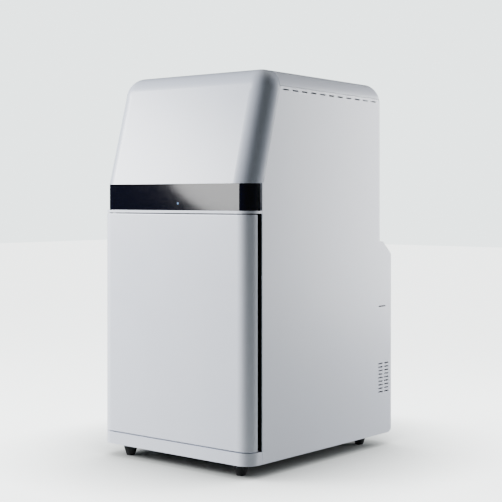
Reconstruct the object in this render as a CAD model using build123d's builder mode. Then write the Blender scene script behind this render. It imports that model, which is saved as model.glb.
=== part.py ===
from build123d import *
from math import cos, radians, sin, tan
import os

os.makedirs("parts", exist_ok=True)

# Overall cabinet, in millimetres: width on X, depth on Y with the door at -Y, floor at Z 0
body_width = 560.0
body_depth = 690.0
foot_height = 37.0
hood_top = 1098.0
panel_wall = 3.0
seam = 1.0
rest_gap = 0.3
running_gap = 0.05

half_width = body_width / 2
front_y = -body_depth / 2
rear_y = body_depth / 2

# Front zone, from the bottom up: plinth, door, sill and window band
front_return = 56.0
corner_radius = 40.0
edge_radius = 2.5
plinth_height = 33.5
door_gap = 3.0
door_height = 628.0
door_depth = 36.0
sill_height = 7.0
band_height = 73.5
band_recess = 7.0

plinth_top = foot_height + plinth_height
door_bottom = plinth_top + door_gap
door_top = door_bottom + door_height
sill_bottom = door_top + door_gap
sill_top = sill_bottom + sill_height
hood_bottom = sill_top + band_height

# Hood and upper body
hood_lean = 15.1
hood_return = 60.0
hood_edge_radius = 56.0
shoulder_radius = 60.0
top_fall = 1.1
shoulder_seam_drop = 46.0
rear_edge_radius = 26.0

# Rear: the upper face stands in front of the lower one, with a sloping step between them
rear_setback = 62.0
step_top = 615.0
step_bottom = 562.0
step_blend = 12.0
base_corner_radius = 42.0
rear_cover_half = 240.0
cover_recess = 4.0

rear_upper_y = rear_y - rear_setback

# Ventilation slots in the side panels
slot_height = 4.0
top_slot_length = 26.0
top_slot_pitch = 42.0
top_slot_count = 11
top_slot_first = 157.0
top_slot_drop = 56.0
side_slot_length = 23.0
side_slot_pitch = 31.0
side_slot_row = 10.6
side_slot_rows = 9
side_slot_y = 615.0
side_slot_low = 164.0
lone_slot_length = 37.0
lone_slot_y = 623.0
lone_slot_z = 421.0


def lean_y(height, back):
    """Y on a plane parallel to the hood's face, the given distance behind it."""
    return front_y + back + (height - hood_bottom) * tan(radians(hood_lean))


crest_y = lean_y(hood_top, 0)


def top_z(y, drop):
    """Height of the gently falling top at y, lowered by drop."""
    return hood_top - drop - (y - crest_y) * tan(radians(top_fall))


def front_outline(height, inset, back):
    """Plan of the front zone with its rounded corners, drawn in by inset."""
    reach = back + corner_radius
    with BuildSketch(Plane.XY.offset(height)) as outline:
        with Locations((0, front_y + (inset + reach) / 2)):
            Rectangle(body_width - 2 * inset, reach - inset)
        fillet(outline.vertices().group_by(Axis.Y)[0], corner_radius - inset)
        with Locations((0, front_y + reach)):
            Rectangle(body_width, 2 * corner_radius, mode=Mode.SUBTRACT)
    return outline.sketch


def hood_form(inset):
    """Leaning front block with rounded shoulders and one blended edge round its face."""
    reach = crest_y + 2 * hood_return
    with BuildPart() as form:
        with BuildSketch(Plane.YZ.offset(inset - half_width)):
            with BuildLine():
                Polyline(
                    (front_y, hood_bottom),
                    (crest_y, hood_top),
                    (reach, top_z(reach, 0)),
                    (reach, hood_bottom),
                    close=True,
                )
            make_face()
            if inset:
                offset(amount=-inset, kind=Kind.INTERSECTION, mode=Mode.REPLACE)
        extrude(amount=body_width - 2 * inset)
        sides = form.edges().group_by(Axis.X)
        fillet([side.sort_by(Axis.Z)[-1] for side in (sides[0], sides[-1])], shoulder_radius - inset)
        face = form.faces().sort_by(Axis.Y)[0]
        fillet(face.edges().sort_by(Axis.Z)[1:], hood_edge_radius - inset)
    return form.part


def upper_form(inset):
    """Body above the step: falling top, rounded shoulders and a rounded rear edge."""
    front = front_y + front_return
    with BuildPart() as form:
        with BuildSketch(Plane.YZ.offset(inset - half_width)):
            with BuildLine():
                Polyline(
                    (front, step_bottom),
                    (front, top_z(front, 0)),
                    (rear_upper_y, top_z(rear_upper_y, 0)),
                    (rear_upper_y, step_bottom),
                    close=True,
                )
            make_face()
            if inset:
                offset(amount=-inset, kind=Kind.INTERSECTION, mode=Mode.REPLACE)
        extrude(amount=body_width - 2 * inset)
        sides = form.edges().group_by(Axis.X)
        fillet([side.sort_by(Axis.Z)[-1] for side in (sides[0], sides[-1])], shoulder_radius - inset)
        face = form.faces().sort_by(Axis.Y)[-1]
        fillet(face.edges().sort_by(Axis.Z)[1:], rear_edge_radius - inset)
    return form.part


def body_form(inset):
    """Whole body behind the front zone, with the deeper lower part under the step."""
    front = front_y + front_return
    with BuildPart() as form:
        with BuildSketch(Plane.YZ.offset(inset - half_width)) as side_view:
            with BuildLine():
                Polyline(
                    (front, foot_height),
                    (front, step_top),
                    (rear_upper_y, step_top),
                    (rear_y, step_bottom),
                    (rear_y, foot_height),
                    close=True,
                )
            make_face()
            rear_corners = side_view.vertices().group_by(Axis.X)[-1].sort_by(Axis.Y)
            fillet(rear_corners[0], base_corner_radius)
            fillet(side_view.vertices().sort_by(Axis.Y)[-3:].sort_by(Axis.X)[-1], step_blend)
            if inset:
                offset(amount=-inset, kind=Kind.INTERSECTION, mode=Mode.REPLACE)
        extrude(amount=body_width - 2 * inset)
        with BuildSketch(Plane.XY) as plan:
            with Locations((0, (front + rear_y) / 2)):
                Rectangle(body_width - 2 * inset, rear_y - front - 2 * inset)
            fillet(plan.vertices().group_by(Axis.Y)[-1], rear_edge_radius - inset)
        extrude(amount=hood_top, mode=Mode.INTERSECT)
        add(upper_form(inset))
    return form.part


with BuildPart() as body_shell:
    add(body_form(0))
    add(body_form(panel_wall), mode=Mode.SUBTRACT)

# Side panels: dished skins with their returns, slotted along the shoulder and low at the rear
panel_front = front_y + front_return
panel_cut = rear_cover_half + seam
panel_top = shoulder_seam_drop + seam
flange_width = 18.0
screw_radius = 2.5
screw_inset = 9.0
screw_margin = 21.0
cover_face_lower = rear_y - cover_recess
cover_face_upper = rear_upper_y - cover_recess
flange_drop = cover_recess + panel_wall + rest_gap
lower_flange = (2 * base_corner_radius, step_bottom - 2 * step_blend)
upper_flange = (step_top + step_blend, top_z(rear_upper_y, panel_top) - panel_wall)
screw_side = rear_cover_half - screw_inset
lower_screws, upper_screws = (
    [(x, z) for x in (-screw_side, screw_side) for z in (low + screw_margin, (low + high) / 2, high - screw_margin)]
    for low, high in (lower_flange, upper_flange)
)
lean_start = lean_y(hood_bottom, hood_return + seam)
lean_end = lean_y(hood_top, hood_return + seam)
rear_limit = rear_y + seam

with BuildPart() as side_panel_blank:
    add(body_shell.part)
    with BuildSketch(Plane.YZ.offset(panel_cut)):
        with BuildLine():
            Polyline(
                (panel_front, 0),
                (panel_front, hood_bottom),
                (lean_start, hood_bottom),
                (lean_end, hood_top),
                (rear_limit, hood_top),
                (rear_limit, 0),
                close=True,
            )
        make_face()
    extrude(amount=half_width - panel_cut, mode=Mode.INTERSECT)
    with BuildSketch(Plane.YZ):
        with BuildLine():
            Polyline(
                (front_y, top_z(front_y, panel_top)),
                (front_y, 2 * hood_top),
                (rear_limit, 2 * hood_top),
                (rear_limit, top_z(rear_limit, panel_top)),
                close=True,
            )
        make_face()
    extrude(amount=half_width, mode=Mode.SUBTRACT)
    with BuildSketch(Plane.YZ):
        with Locations((panel_front, sill_top / 2)):
            Rectangle(2 * (panel_wall + rest_gap), sill_top)
    extrude(amount=half_width - panel_wall, mode=Mode.SUBTRACT)
    for outer_y, (low, high), screws in (
        (rear_y, lower_flange, lower_screws),
        (rear_upper_y, upper_flange, upper_screws),
    ):
        seat_y = outer_y - flange_drop
        with BuildSketch(Plane.XY.offset(low)):
            with Locations((panel_cut - flange_width / 2, seat_y - panel_wall / 2)):
                Rectangle(flange_width, panel_wall)
            with Locations((panel_cut + panel_wall / 2, (outer_y + seat_y - panel_wall) / 2)):
                Rectangle(panel_wall, flange_drop + panel_wall)
        extrude(amount=high - low)
        with BuildSketch(Plane.XZ.offset(-seat_y)):
            with Locations(*screws):
                Circle(screw_radius)
        extrude(amount=panel_wall, mode=Mode.SUBTRACT)
    with BuildSketch(Plane.YZ.offset(half_width - shoulder_radius / 2)):
        for place in range(top_slot_count):
            slot_y = front_y + top_slot_first + place * top_slot_pitch
            with Locations((slot_y, top_z(slot_y, top_slot_drop))):
                SlotOverall(top_slot_length, slot_height, rotation=-top_fall)
        for row in range(side_slot_rows):
            for column in (0, 1):
                slot_y = front_y + side_slot_y + column * side_slot_pitch
                with Locations((slot_y, side_slot_low + row * side_slot_row)):
                    SlotOverall(side_slot_length, slot_height)
    extrude(amount=shoulder_radius, mode=Mode.SUBTRACT)

with BuildPart() as side_panel_right:
    add(side_panel_blank.part)
    with BuildSketch(Plane.YZ.offset(half_width - 2 * panel_wall)):
        with Locations((front_y + lone_slot_y, lone_slot_z)):
            SlotOverall(lone_slot_length, slot_height)
    extrude(amount=4 * panel_wall, mode=Mode.SUBTRACT)
side_panel_right.part.label = "side_panel_right"
export_step(side_panel_right.part, "parts/side_panel_right.step")

with BuildPart() as side_panel_left:
    add(side_panel_blank.part)
    mirror(about=Plane.YZ, mode=Mode.REPLACE)
side_panel_left.part.label = "side_panel_left"
export_step(side_panel_left.part, "parts/side_panel_left.step")

# Top cover: the falling top with both rounded shoulders, behind the hood
with BuildPart() as top_cover:
    add(body_shell.part)
    with BuildSketch(Plane.YZ.offset(-half_width)):
        with BuildLine():
            Polyline(
                (lean_y(hood_top - 2 * shoulder_seam_drop, hood_return + seam), hood_top - 2 * shoulder_seam_drop),
                (lean_y(2 * hood_top, hood_return + seam), 2 * hood_top),
                (rear_limit, 2 * hood_top),
                (rear_limit, hood_top - 2 * shoulder_seam_drop),
                close=True,
            )
        make_face()
    extrude(amount=body_width, mode=Mode.INTERSECT)
    with BuildSketch(Plane.YZ.offset(-half_width)):
        with BuildLine():
            Polyline(
                (front_y, top_z(front_y, shoulder_seam_drop)),
                (front_y, 0),
                (rear_limit, 0),
                (rear_limit, top_z(rear_limit, shoulder_seam_drop)),
                close=True,
            )
        make_face()
    extrude(amount=body_width, mode=Mode.SUBTRACT)
top_cover.part.label = "top_cover"
export_step(top_cover.part, "parts/top_cover.step")

# Hood: the leaning front cover, cut along a seam parallel to its face, with an inner fixing rim
hood_rim = 24.0

with BuildPart() as hood:
    add(hood_form(0))
    add(hood_form(panel_wall), mode=Mode.SUBTRACT)
    with BuildSketch(Plane.YZ.offset(-half_width)):
        with BuildLine():
            Polyline(
                (lean_y(hood_bottom - hood_rim, hood_return), hood_bottom - hood_rim),
                (lean_y(2 * hood_top, hood_return), 2 * hood_top),
                (front_y - hood_return, 2 * hood_top),
                (front_y - hood_return, hood_bottom - hood_rim),
                close=True,
            )
        make_face()
    extrude(amount=body_width, mode=Mode.INTERSECT)
    with BuildSketch(Plane.XY.offset(hood_bottom)) as rim_opening:
        with Locations((0, front_y + hood_rim + hood_return)):
            Rectangle(body_width - 2 * hood_rim, 2 * hood_return)
        fillet(rim_opening.vertices().group_by(Axis.Y)[0], hood_edge_radius - hood_rim)
    extrude(amount=panel_wall, mode=Mode.SUBTRACT)
hood.part.label = "hood"
export_step(hood.part, "parts/hood.step")

# Rear covers: recessed between the side panels, with cut-outs for fans and connectors
fan_size = 92.0
fan_depth = 25.0
fan_bore = 43.0
fan_spacing = 150.0
fan_z = 330.0
grille_ring = 5.0
grille_pitch = 9.0
grille_rings = 3
grille_hub = 14.0
grille_spoke = 5.0
inlet_x = 170.0
inlet_z = 140.0
inlet_width = 28.0
inlet_height = 62.0
port_x = 60.0
port_width = 84.0
port_height = 22.0
cover_hem = 12.0
upper_cover_top = top_z(rear_upper_y, panel_top)
louvre_length = 60.0
louvre_pitch = 12.0
louvre_rows = 8
louvre_z = 900.0
louvre_x = 120.0
tray_rear = 640.0

with BuildPart() as rear_shell:
    add(body_form(cover_recess))
    add(body_form(cover_recess + panel_wall), mode=Mode.SUBTRACT)

with BuildPart() as rear_upper_cover:
    with BuildSketch(Plane.XZ.offset(-cover_face_upper)):
        with Locations((0, (step_top + upper_cover_top) / 2)):
            Rectangle(2 * rear_cover_half, upper_cover_top - step_top)
    extrude(amount=panel_wall)
    with BuildSketch(Plane.XZ.offset(-cover_face_upper + panel_wall)):
        for edge_z in (step_top + panel_wall / 2, upper_cover_top - panel_wall / 2):
            with Locations((0, edge_z)):
                Rectangle(2 * (screw_side - screw_inset - seam), panel_wall)
    extrude(amount=cover_hem)
    with BuildSketch(Plane.XZ.offset(-cover_face_upper)):
        for row in range(louvre_rows):
            with Locations((-louvre_x, louvre_z + row * louvre_pitch), (louvre_x, louvre_z + row * louvre_pitch)):
                SlotOverall(louvre_length, slot_height)
        with Locations(*upper_screws):
            Circle(screw_radius + rest_gap)
    extrude(amount=panel_wall, mode=Mode.SUBTRACT)
rear_upper_cover.part.label = "rear_upper_cover"
export_step(rear_upper_cover.part, "parts/rear_upper_cover.step")

with BuildPart() as rear_lower_cover:
    add(rear_shell.part)
    with BuildSketch(Plane.YZ.offset(-rear_cover_half)):
        with BuildLine():
            Polyline(
                (front_y + tray_rear + seam, 0),
                (front_y + tray_rear + seam, step_bottom - cover_hem),
                (rear_upper_y - 2 * cover_hem, step_bottom - cover_hem),
                (rear_upper_y - 2 * cover_hem, step_top - seam),
                (rear_limit, step_top - seam),
                (rear_limit, 0),
                close=True,
            )
        make_face()
    extrude(amount=2 * rear_cover_half, mode=Mode.INTERSECT)
    with BuildSketch(Plane.XZ.offset(-rear_y)):
        for x in (-fan_spacing / 2, fan_spacing / 2):
            for ring in reversed(range(grille_rings)):
                inner = grille_hub + ring * grille_pitch
                with Locations((x, fan_z)):
                    Circle(inner + grille_ring)
                    Circle(inner, mode=Mode.SUBTRACT)
        with Locations((-fan_spacing / 2, fan_z), (fan_spacing / 2, fan_z)):
            Rectangle(2 * fan_bore, grille_spoke, rotation=45, mode=Mode.SUBTRACT)
            Rectangle(2 * fan_bore, grille_spoke, rotation=-45, mode=Mode.SUBTRACT)
        with Locations((inlet_x, inlet_z)):
            Rectangle(inlet_width, inlet_height)
        with Locations((port_x, inlet_z)):
            Rectangle(port_width, port_height)
        with Locations(*lower_screws):
            Circle(screw_radius + rest_gap)
    extrude(amount=cover_recess + 2 * panel_wall, mode=Mode.SUBTRACT)
rear_lower_cover.part.label = "rear_lower_cover"
export_step(rear_lower_cover.part, "parts/rear_lower_cover.step")

screw_head = 4.6
screw_head_height = 2.2
screw_length = 9.0

with BuildPart() as cover_screws:
    for face_y, places in ((cover_face_upper, upper_screws), (cover_face_lower, lower_screws)):
        with BuildSketch(Plane.XZ.offset(-face_y)):
            with Locations(*places):
                Circle(screw_head)
        extrude(amount=-screw_head_height)
        with BuildSketch(Plane.XZ.offset(-face_y)):
            with Locations(*places):
                Circle(screw_radius)
        extrude(amount=screw_length)
cover_screws.part.label = "cover_screws"
export_step(cover_screws.part, "parts/cover_screws.step")

# Plinth: the painted cover round the front of the base, with a deck under the door
deck_back = front_return + 5.0

with BuildPart() as front_plinth:
    extrude(front_outline(foot_height, 0, front_return - seam), amount=plinth_height)
    extrude(
        front_outline(foot_height, panel_wall, front_return),
        amount=plinth_height - panel_wall,
        mode=Mode.SUBTRACT,
    )
    with BuildSketch(Plane.XY.offset(plinth_top)):
        with Locations((0, front_y + (front_return + deck_back) / 2 - seam)):
            Rectangle(body_width - 2 * panel_wall - 2 * seam, deck_back - front_return + 2 * seam)
    extrude(amount=-panel_wall)
front_plinth.part.label = "front_plinth"
export_step(front_plinth.part, "parts/front_plinth.step")

# Sill: the shallow painted rail between the door and the window band
sill_rim = 30.0

with BuildPart() as band_sill:
    extrude(front_outline(sill_bottom, 0, front_return - seam), amount=sill_height)
    extrude(
        front_outline(sill_bottom + panel_wall, band_recess + panel_wall, front_return),
        amount=sill_height,
        mode=Mode.SUBTRACT,
    )
    with BuildSketch(Plane.XY.offset(sill_bottom)):
        with Locations((0, front_y + (front_return + deck_back) / 2 - seam)):
            Rectangle(body_width - 2 * panel_wall - 2 * seam, deck_back - front_return + 2 * seam)
    extrude(amount=panel_wall)
band_sill.part.label = "band_sill"
export_step(band_sill.part, "parts/band_sill.step")

# Window band: smoked pane bent round the front, on a black carrier with the status light behind it
light_x = 17.6
light_z = 731.0
light_radius = 2.0
light_length = 8.0

with BuildPart() as band_glass:
    extrude(
        front_outline(sill_top, band_recess, front_return - seam),
        amount=band_height - rest_gap,
    )
    extrude(
        front_outline(sill_top, band_recess + panel_wall, front_return),
        amount=band_height,
        mode=Mode.SUBTRACT,
    )
band_glass.part.label = "band_glass"
export_step(band_glass.part, "parts/band_glass.step")

carrier_inset = band_recess + panel_wall + rest_gap

with BuildPart() as band_carrier:
    extrude(
        front_outline(sill_top - sill_height + panel_wall, carrier_inset, front_return - seam),
        amount=band_height + sill_height - panel_wall - rest_gap,
    )
    extrude(
        front_outline(sill_top - sill_height + panel_wall, carrier_inset + panel_wall, front_return),
        amount=band_height + sill_height,
        mode=Mode.SUBTRACT,
    )
    with BuildSketch(Plane.XZ.offset(-front_y)):
        with Locations((light_x, light_z)):
            Circle(light_radius)
    extrude(amount=-2 * corner_radius, mode=Mode.SUBTRACT)
band_carrier.part.label = "band_carrier"
export_step(band_carrier.part, "parts/band_carrier.step")

with BuildPart() as status_light:
    with BuildSketch(Plane.XZ.offset(-front_y - carrier_inset)):
        with Locations((light_x, light_z)):
            Circle(light_radius)
    extrude(amount=-light_length)
status_light.part.label = "status_light"
export_step(status_light.part, "parts/status_light.step")

# Base tray on four tapered feet, shaped to fit inside the plinth and the side panels
tray_inset = 6.0
tray_height = 27.0
tray_bottom = foot_height + panel_wall + rest_gap
tray_floor = tray_bottom + panel_wall
foot_x = 210.0
foot_front = 50.0
foot_rear = 604.0
foot_top_radius = 23.0
foot_bottom_radius = 12.0
foot_collar = 6.0
stud_radius = 5.0
stud_length = 10.0
foot_places = [(x, front_y + y) for x in (-foot_x, foot_x) for y in (foot_front, foot_rear)]

with BuildPart() as base_tray:
    extrude(front_outline(tray_bottom, tray_inset, tray_rear), amount=tray_height)
    extrude(
        front_outline(tray_floor, tray_inset + panel_wall, tray_rear - panel_wall),
        amount=tray_height,
        mode=Mode.SUBTRACT,
    )
    with Locations(*[(x, y, tray_bottom) for x, y in foot_places]):
        Cylinder(
            stud_radius,
            panel_wall,
            align=(Align.CENTER, Align.CENTER, Align.MIN),
            mode=Mode.SUBTRACT,
        )
base_tray.part.label = "base_tray"
export_step(base_tray.part, "parts/base_tray.step")

with BuildPart() as foot:
    with BuildSketch(Plane.XZ):
        with BuildLine():
            Polyline(
                (0, 0),
                (foot_bottom_radius, 0),
                (foot_top_radius, tray_bottom - foot_collar),
                (foot_top_radius, tray_bottom),
                (0, tray_bottom),
                close=True,
            )
        make_face()
    revolve(axis=Axis.Z)
    fillet(foot.edges().filter_by(GeomType.CIRCLE).sort_by(Axis.Z)[0], edge_radius)
    with BuildSketch(Plane.XY.offset(tray_bottom)):
        Circle(stud_radius)
    extrude(amount=stud_length)

with BuildPart() as feet:
    with Locations(*foot_places):
        add(foot.part)
feet.part.label = "feet"
export_step(feet.part, "parts/feet.step")

# Inner frame: four square posts on the tray and the rails that they carry
post_size = 30.0
post_wall = 2.0
post_x = half_width - tray_inset - panel_wall - rest_gap - post_size / 2
front_post_y = front_y + deck_back + rest_gap + post_size / 2
rear_post_y = front_y + 575.0
deck_bottom = 690.0
rear_post_top = 1000.0
rail_x = post_x - post_size / 2 - rest_gap
floor_rail_x = 160.0
chamber_low = 97.0
chamber_high = 679.0
chamber_back = 532.0
chamber_half = 214.0
chamber_wall = 2.0

with BuildPart() as frame_posts:
    for y, top in ((front_post_y, deck_bottom), (rear_post_y, rear_post_top)):
        with BuildSketch(Plane.XY.offset(tray_floor)):
            with Locations((-post_x, y), (post_x, y)):
                Rectangle(post_size, post_size)
                Rectangle(post_size - 2 * post_wall, post_size - 2 * post_wall, mode=Mode.SUBTRACT)
        extrude(amount=top - tray_floor)
frame_posts.part.label = "frame_posts"
export_step(frame_posts.part, "parts/frame_posts.step")

with BuildPart() as frame_rails:
    with BuildSketch(Plane.YZ.offset(-rail_x)):
        with Locations((rear_post_y, deck_bottom - post_size / 2), (rear_post_y, rear_post_top - post_size / 2)):
            Rectangle(post_size, post_size)
            Rectangle(post_size - 2 * post_wall, post_size - 2 * post_wall, mode=Mode.SUBTRACT)
    extrude(amount=2 * rail_x)
    with BuildSketch(Plane.XZ.offset(-front_post_y - post_size / 2 - rest_gap)):
        with Locations((-post_x, deck_bottom - post_size / 2), (post_x, deck_bottom - post_size / 2)):
            Rectangle(post_size, post_size)
            Rectangle(post_size - 2 * post_wall, post_size - 2 * post_wall, mode=Mode.SUBTRACT)
    extrude(amount=-(rear_post_y - front_post_y - post_size - 2 * rest_gap))
    with BuildSketch(Plane.XZ.offset(-front_y - deck_back)):
        with Locations(
            (-floor_rail_x, (tray_floor + chamber_low) / 2),
            (floor_rail_x, (tray_floor + chamber_low) / 2),
        ):
            Rectangle(post_size, chamber_low - tray_floor)
    extrude(amount=-(chamber_back - deck_back))
frame_rails.part.label = "frame_rails"
export_step(frame_rails.part, "parts/frame_rails.step")

# Dark chamber: five separate black plates and the front frame with its light-trap collar
lens_y = front_y + 280.0
lens_port = 50.0
mouth_half = 206.0
mouth_low = 110.0
mouth_high = 666.0
collar_wall = 6.0
frame_face = 58.0
collar_face = 40.0
lift_y = front_y + 505.0
screw_rod_radius = 6.0

chamber_front = front_y + deck_back
chamber_length = chamber_back - deck_back
chamber_mid = chamber_front + chamber_length / 2
mouth_mid = (mouth_low + mouth_high) / 2
mouth_height = mouth_high - mouth_low

with BuildPart() as chamber_front_frame:
    with BuildSketch(Plane.XZ.offset(-front_y - frame_face)):
        with Locations((0, (plinth_top + sill_bottom) / 2)):
            Rectangle(body_width - 2 * panel_wall - 2 * seam, sill_bottom - plinth_top - 2 * rest_gap)
    extrude(amount=-(deck_back - frame_face))
    with BuildSketch(Plane.XZ.offset(-front_y - collar_face)) as collar:
        with Locations((0, mouth_mid)):
            Rectangle(2 * (mouth_half + collar_wall), mouth_height + 2 * collar_wall)
        fillet(collar.vertices(), 2 * collar_wall)
    extrude(amount=-(frame_face - collar_face))
    with BuildSketch(Plane.XZ.offset(-front_y - collar_face)) as mouth:
        with Locations((0, mouth_mid)):
            Rectangle(2 * mouth_half, mouth_height)
        fillet(mouth.vertices(), collar_wall)
    extrude(amount=-(deck_back - collar_face), mode=Mode.SUBTRACT)
chamber_front_frame.part.label = "chamber_front_frame"
export_step(chamber_front_frame.part, "parts/chamber_front_frame.step")

for side, wall_name in ((-1, "chamber_left_wall"), (1, "chamber_right_wall")):
    with BuildPart() as chamber_side:
        with BuildSketch(Plane.XY.offset(chamber_low + panel_wall)):
            with Locations((side * (chamber_half - chamber_wall / 2), chamber_mid - chamber_wall / 2)):
                Rectangle(chamber_wall, chamber_length - chamber_wall)
        extrude(amount=chamber_high - chamber_low - 2 * panel_wall)
    chamber_side.part.label = wall_name
    export_step(chamber_side.part, f"parts/{wall_name}.step")

with BuildPart() as chamber_back_wall:
    with BuildSketch(Plane.XY.offset(chamber_low + panel_wall)):
        with Locations((0, front_y + chamber_back - chamber_wall / 2)):
            Rectangle(2 * chamber_half, chamber_wall)
    extrude(amount=chamber_high - chamber_low - 2 * panel_wall)
chamber_back_wall.part.label = "chamber_back_wall"
export_step(chamber_back_wall.part, "parts/chamber_back_wall.step")

with BuildPart() as chamber_floor:
    with BuildSketch(Plane.XY.offset(chamber_low)):
        with Locations((0, chamber_mid)):
            Rectangle(2 * chamber_half, chamber_length)
        with Locations((0, lift_y)):
            Circle(screw_rod_radius + seam, mode=Mode.SUBTRACT)
    extrude(amount=panel_wall)
chamber_floor.part.label = "chamber_floor"
export_step(chamber_floor.part, "parts/chamber_floor.step")

with BuildPart() as chamber_ceiling:
    with BuildSketch(Plane.XY.offset(chamber_high - panel_wall)):
        with Locations((0, chamber_mid)):
            Rectangle(2 * chamber_half, chamber_length)
        with Locations((0, lens_y)):
            Circle(lens_port, mode=Mode.SUBTRACT)
    extrude(amount=panel_wall)
chamber_ceiling.part.label = "chamber_ceiling"
export_step(chamber_ceiling.part, "parts/chamber_ceiling.step")

# Equipment deck on the posts and rails, notched round the rear posts
deck_thickness = 4.0
deck_rear = 600.0
deck_top = deck_bottom + deck_thickness

with BuildPart() as equipment_deck:
    with BuildSketch(Plane.XY.offset(deck_bottom)):
        with Locations((0, front_y + (deck_back + deck_rear) / 2)):
            Rectangle(body_width - 2 * tray_inset - 2 * panel_wall, deck_rear - deck_back - 2 * rest_gap)
        with Locations((-post_x, rear_post_y), (post_x, rear_post_y)):
            Rectangle(post_size + 2 * seam, post_size + 2 * seam, mode=Mode.SUBTRACT)
        with Locations((-half_width + tray_inset, rear_post_y), (half_width - tray_inset, rear_post_y)):
            Rectangle(post_size, post_size + 2 * seam, mode=Mode.SUBTRACT)
        with Locations((0, lens_y)):
            Circle(lens_port, mode=Mode.SUBTRACT)
    extrude(amount=deck_thickness)
equipment_deck.part.label = "equipment_deck"
export_step(equipment_deck.part, "parts/equipment_deck.step")

# Door hinges: plates over the plinth and under the sill, each with a pin into the door
pin_x = -262.0
pin_y = front_y + 24.0
pin_radius = 4.0
pin_length = 20.0
hinge_plate = 2.0
hinge_eye = 10.0
hinge_width = 30.0
hinge_block_height = 24.0
hinge_block_length = 40.0

with BuildPart() as hinge_brackets:
    for level, up in ((plinth_top, 1), (sill_bottom, -1)):
        with BuildSketch(Plane.XY.offset(level)):
            with Locations((pin_x, pin_y)):
                Circle(hinge_eye)
            with Locations((pin_x + hinge_width / 2 - hinge_eye, (pin_y + front_y + frame_face - rest_gap) / 2)):
                Rectangle(hinge_width, front_y + frame_face - rest_gap - pin_y)
        extrude(amount=up * hinge_plate)
        with BuildSketch(Plane.XY.offset(level + up * hinge_plate)):
            with Locations((pin_x, pin_y)):
                Circle(pin_radius)
        extrude(amount=up * pin_length)
hinge_brackets.part.label = "hinge_brackets"
export_step(hinge_brackets.part, "parts/hinge_brackets.step")

liner_depth = 4.0
liner_front = front_y + door_depth - liner_depth
hinge_block = liner_front - rest_gap - pin_y
block_levels = (door_bottom + panel_wall, door_top - panel_wall - hinge_block_height)

with BuildPart() as hinge_blocks:
    for level in block_levels:
        with BuildSketch(Plane.XY.offset(level)):
            with Locations((pin_x, pin_y)):
                Circle(hinge_block)
            with Locations((pin_x + hinge_block_length / 2, pin_y)):
                Rectangle(hinge_block_length, 2 * hinge_block)
            with Locations((pin_x, pin_y)):
                Circle(pin_radius + running_gap, mode=Mode.SUBTRACT)
        extrude(amount=hinge_block_height)
hinge_blocks.part.label = "hinge_blocks"
export_step(hinge_blocks.part, "parts/hinge_blocks.step")

# Door: painted skin bent round both front corners, with holes for the hinge pins
with BuildPart() as door_skin:
    extrude(front_outline(door_bottom, 0, door_depth), amount=door_height)
    rim = door_skin.edges().filter_by(Plane.XY).group_by(Axis.Y)[:-1]
    fillet([edge for group in rim for edge in group], edge_radius)
    extrude(
        front_outline(door_bottom + panel_wall, panel_wall, door_depth),
        amount=door_height - 2 * panel_wall,
        mode=Mode.SUBTRACT,
    )
    with BuildSketch(Plane.XY.offset(door_bottom)):
        with Locations((pin_x, pin_y)):
            Circle(pin_radius + seam)
    extrude(amount=door_height, mode=Mode.SUBTRACT)
door_skin.part.label = "door_skin"
export_step(door_skin.part, "parts/door_skin.step")

# Door liner: black inner pan with a light-trap lip that enters the collar
lip_half = 198.0
lip_low = 120.0
lip_high = 656.0
lip_depth = 16.0
liner_half = half_width - panel_wall - 1.6

with BuildPart() as door_liner:
    with BuildSketch(Plane.XZ.offset(-liner_front)):
        with Locations((0, (door_bottom + door_top) / 2)):
            Rectangle(2 * liner_half, door_height - 2 * panel_wall - 2 * rest_gap)
    extrude(amount=-liner_depth)
    with BuildSketch(Plane.XZ.offset(-front_y - door_depth)) as lip:
        with Locations((0, (lip_low + lip_high) / 2)):
            Rectangle(2 * lip_half, lip_high - lip_low)
            Rectangle(2 * (lip_half - panel_wall), lip_high - lip_low - 2 * panel_wall, mode=Mode.SUBTRACT)
    extrude(amount=-lip_depth)
door_liner.part.label = "door_liner"
export_step(door_liner.part, "parts/door_liner.step")

gasket_width = 10.0
gasket_depth = collar_face - door_depth - rest_gap
gasket_half = mouth_half + collar_wall / 2 + gasket_width / 2
gasket_height = mouth_height + collar_wall + gasket_width

with BuildPart() as door_gasket:
    with BuildSketch(Plane.XZ.offset(-front_y - door_depth)):
        with Locations((0, mouth_mid)):
            Rectangle(2 * gasket_half, gasket_height)
            Rectangle(2 * (gasket_half - gasket_width), gasket_height - 2 * gasket_width, mode=Mode.SUBTRACT)
    extrude(amount=-gasket_depth)
door_gasket.part.label = "door_gasket"
export_step(door_gasket.part, "parts/door_gasket.step")

# Door catch: two magnets on the frame and two steel strikes on the liner
catch_x = 232.0
catch_width = 16.0
catch_height = 40.0
catch_levels = (200.0, 576.0)
strike_depth = 1.5
catch_places = [(catch_x, z) for z in catch_levels]

with BuildPart() as door_strikes:
    with BuildSketch(Plane.XZ.offset(-front_y - door_depth)):
        with Locations(*catch_places):
            Rectangle(catch_width, catch_height)
    extrude(amount=-strike_depth)
door_strikes.part.label = "door_strikes"
export_step(door_strikes.part, "parts/door_strikes.step")

with BuildPart() as door_magnets:
    with BuildSketch(Plane.XZ.offset(-front_y - door_depth - strike_depth - rest_gap)):
        with Locations(*catch_places):
            Rectangle(catch_width, catch_height)
    extrude(amount=-(frame_face - door_depth - strike_depth - rest_gap))
    chamfer(door_magnets.faces().group_by(Axis.Y)[0].edges(), seam)
door_magnets.part.label = "door_magnets"
export_step(door_magnets.part, "parts/door_magnets.step")

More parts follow.
